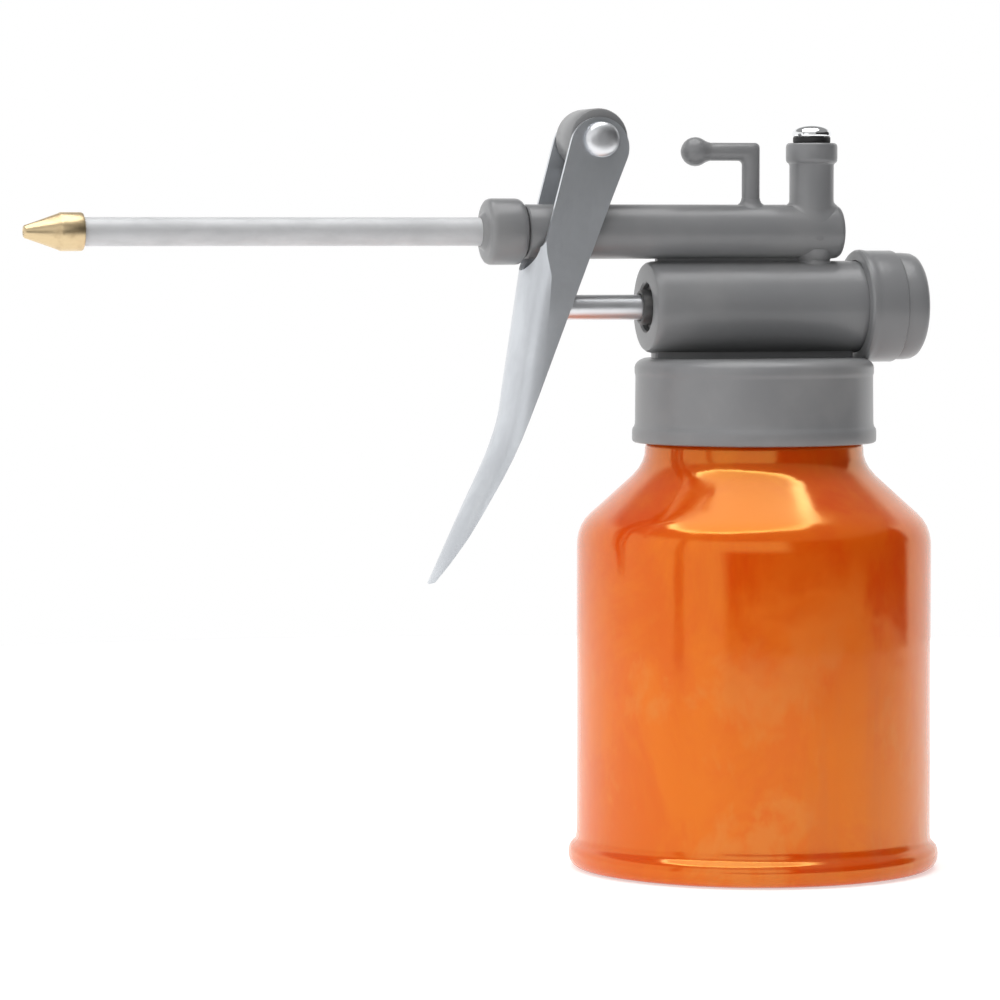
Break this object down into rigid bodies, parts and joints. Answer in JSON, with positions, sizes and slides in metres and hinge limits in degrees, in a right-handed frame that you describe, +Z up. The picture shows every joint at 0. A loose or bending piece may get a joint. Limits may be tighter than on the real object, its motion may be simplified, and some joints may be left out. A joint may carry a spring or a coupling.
{
  "type": "pump oiler",
  "caption": "Hand-held pump oiler: orange sheet-steel oil can with a screw-on grey pump head, finger lever, long straight spout and brass nozzle.",
  "frame": {"origin": "centre of the can's base, on the surface it stands on", "axes": "+Z up along the can's axis; -X along the spout; +X towards the barrel's end cap"},
  "size_m": [0.1848, 0.0742, 0.1517],
  "materials": {
    "orange_lacquer": "glossy orange lacquer on sheet steel",
    "grey_paint": "semi-gloss mid-grey coating on a die casting",
    "zinc_steel": "satin zinc-plated pressed steel",
    "polished_steel": "ground and polished steel",
    "chrome_plate": "bright plating",
    "aluminium_tube": "drawn tube, matt",
    "brass": "turned brass",
    "spring_steel": "drawn spring wire",
    "black_rubber": "matt oil-proof rubber",
    "clear_plastic": "translucent tube"
  },
  "bodies": {
    "can": {"can_shell": "orange_lacquer", "can_bottom": "orange_lacquer"},
    "neck_seal": {"neck_gasket": "black_rubber"},
    "head": {"pump_head": "grey_paint", "barrel_end_cap": "grey_paint", "end_cap_seal": "black_rubber", "rod_bush": "grey_paint", "valve_plug": "chrome_plate", "plug_washer": "black_rubber", "outlet_spring": "spring_steel", "suction_nipple": "brass", "dip_tube": "clear_plastic", "spout_nut": "grey_paint", "spout_ferrule": "brass", "spout_tube": "aluminium_tube", "nozzle_tip": "brass", "return_spring": "spring_steel"},
    "outlet_valve": {"outlet_ball": "polished_steel"},
    "inlet_valve": {"inlet_ball": "polished_steel"},
    "plunger": {"piston_rod": "polished_steel", "piston": "brass", "piston_cup": "black_rubber", "piston_nut": "zinc_steel"},
    "hand_lever": {"lever": "zinc_steel", "pivot_rivet": "polished_steel"}
  },
  "joints": [
    {"name": "head_lift", "type": "slide", "parent": "can", "child": "neck_seal", "axis": [0, 0, 1], "range_m": [0, 0.0076]},
    {"name": "head_unscrew", "type": "hinge", "parent": "neck_seal", "child": "head", "pos_m": [0, 0, 0.092], "axis": [0, 0, 1], "range_deg": [0, 900]},
    {"name": "lever_pull", "type": "hinge", "parent": "head", "child": "hand_lever", "pos_m": [-0.034, 0, 0.1456], "axis": [0, -1, 0], "range_deg": [0, 16], "stiffness_Nm_per_rad": 1.6, "springref_deg": -17.19},
    {"name": "piston_stroke", "type": "slide", "parent": "head", "child": "plunger", "axis": [1, 0, 0], "range_m": [0, 0.00935], "deforming": ["return_spring"]},
    {"name": "outlet_ball_lift", "type": "slide", "parent": "head", "child": "outlet_valve", "axis": [0, 0, 1], "range_m": [0, 0.0012], "stiffness_N_per_m": 100, "springref_m": -0.002, "deforming": ["outlet_spring"]},
    {"name": "inlet_ball_lift", "type": "slide", "parent": "head", "child": "inlet_valve", "axis": [0, 0, 1], "range_m": [0, 0.001]}
  ],
  "couplings": [
    {"joint": "head_lift", "follows": "head_unscrew", "m_per_rad": 0.00047746},
    {"joint": "piston_stroke", "follows": "lever_pull", "m_per_rad": 0.033464}
  ]
}
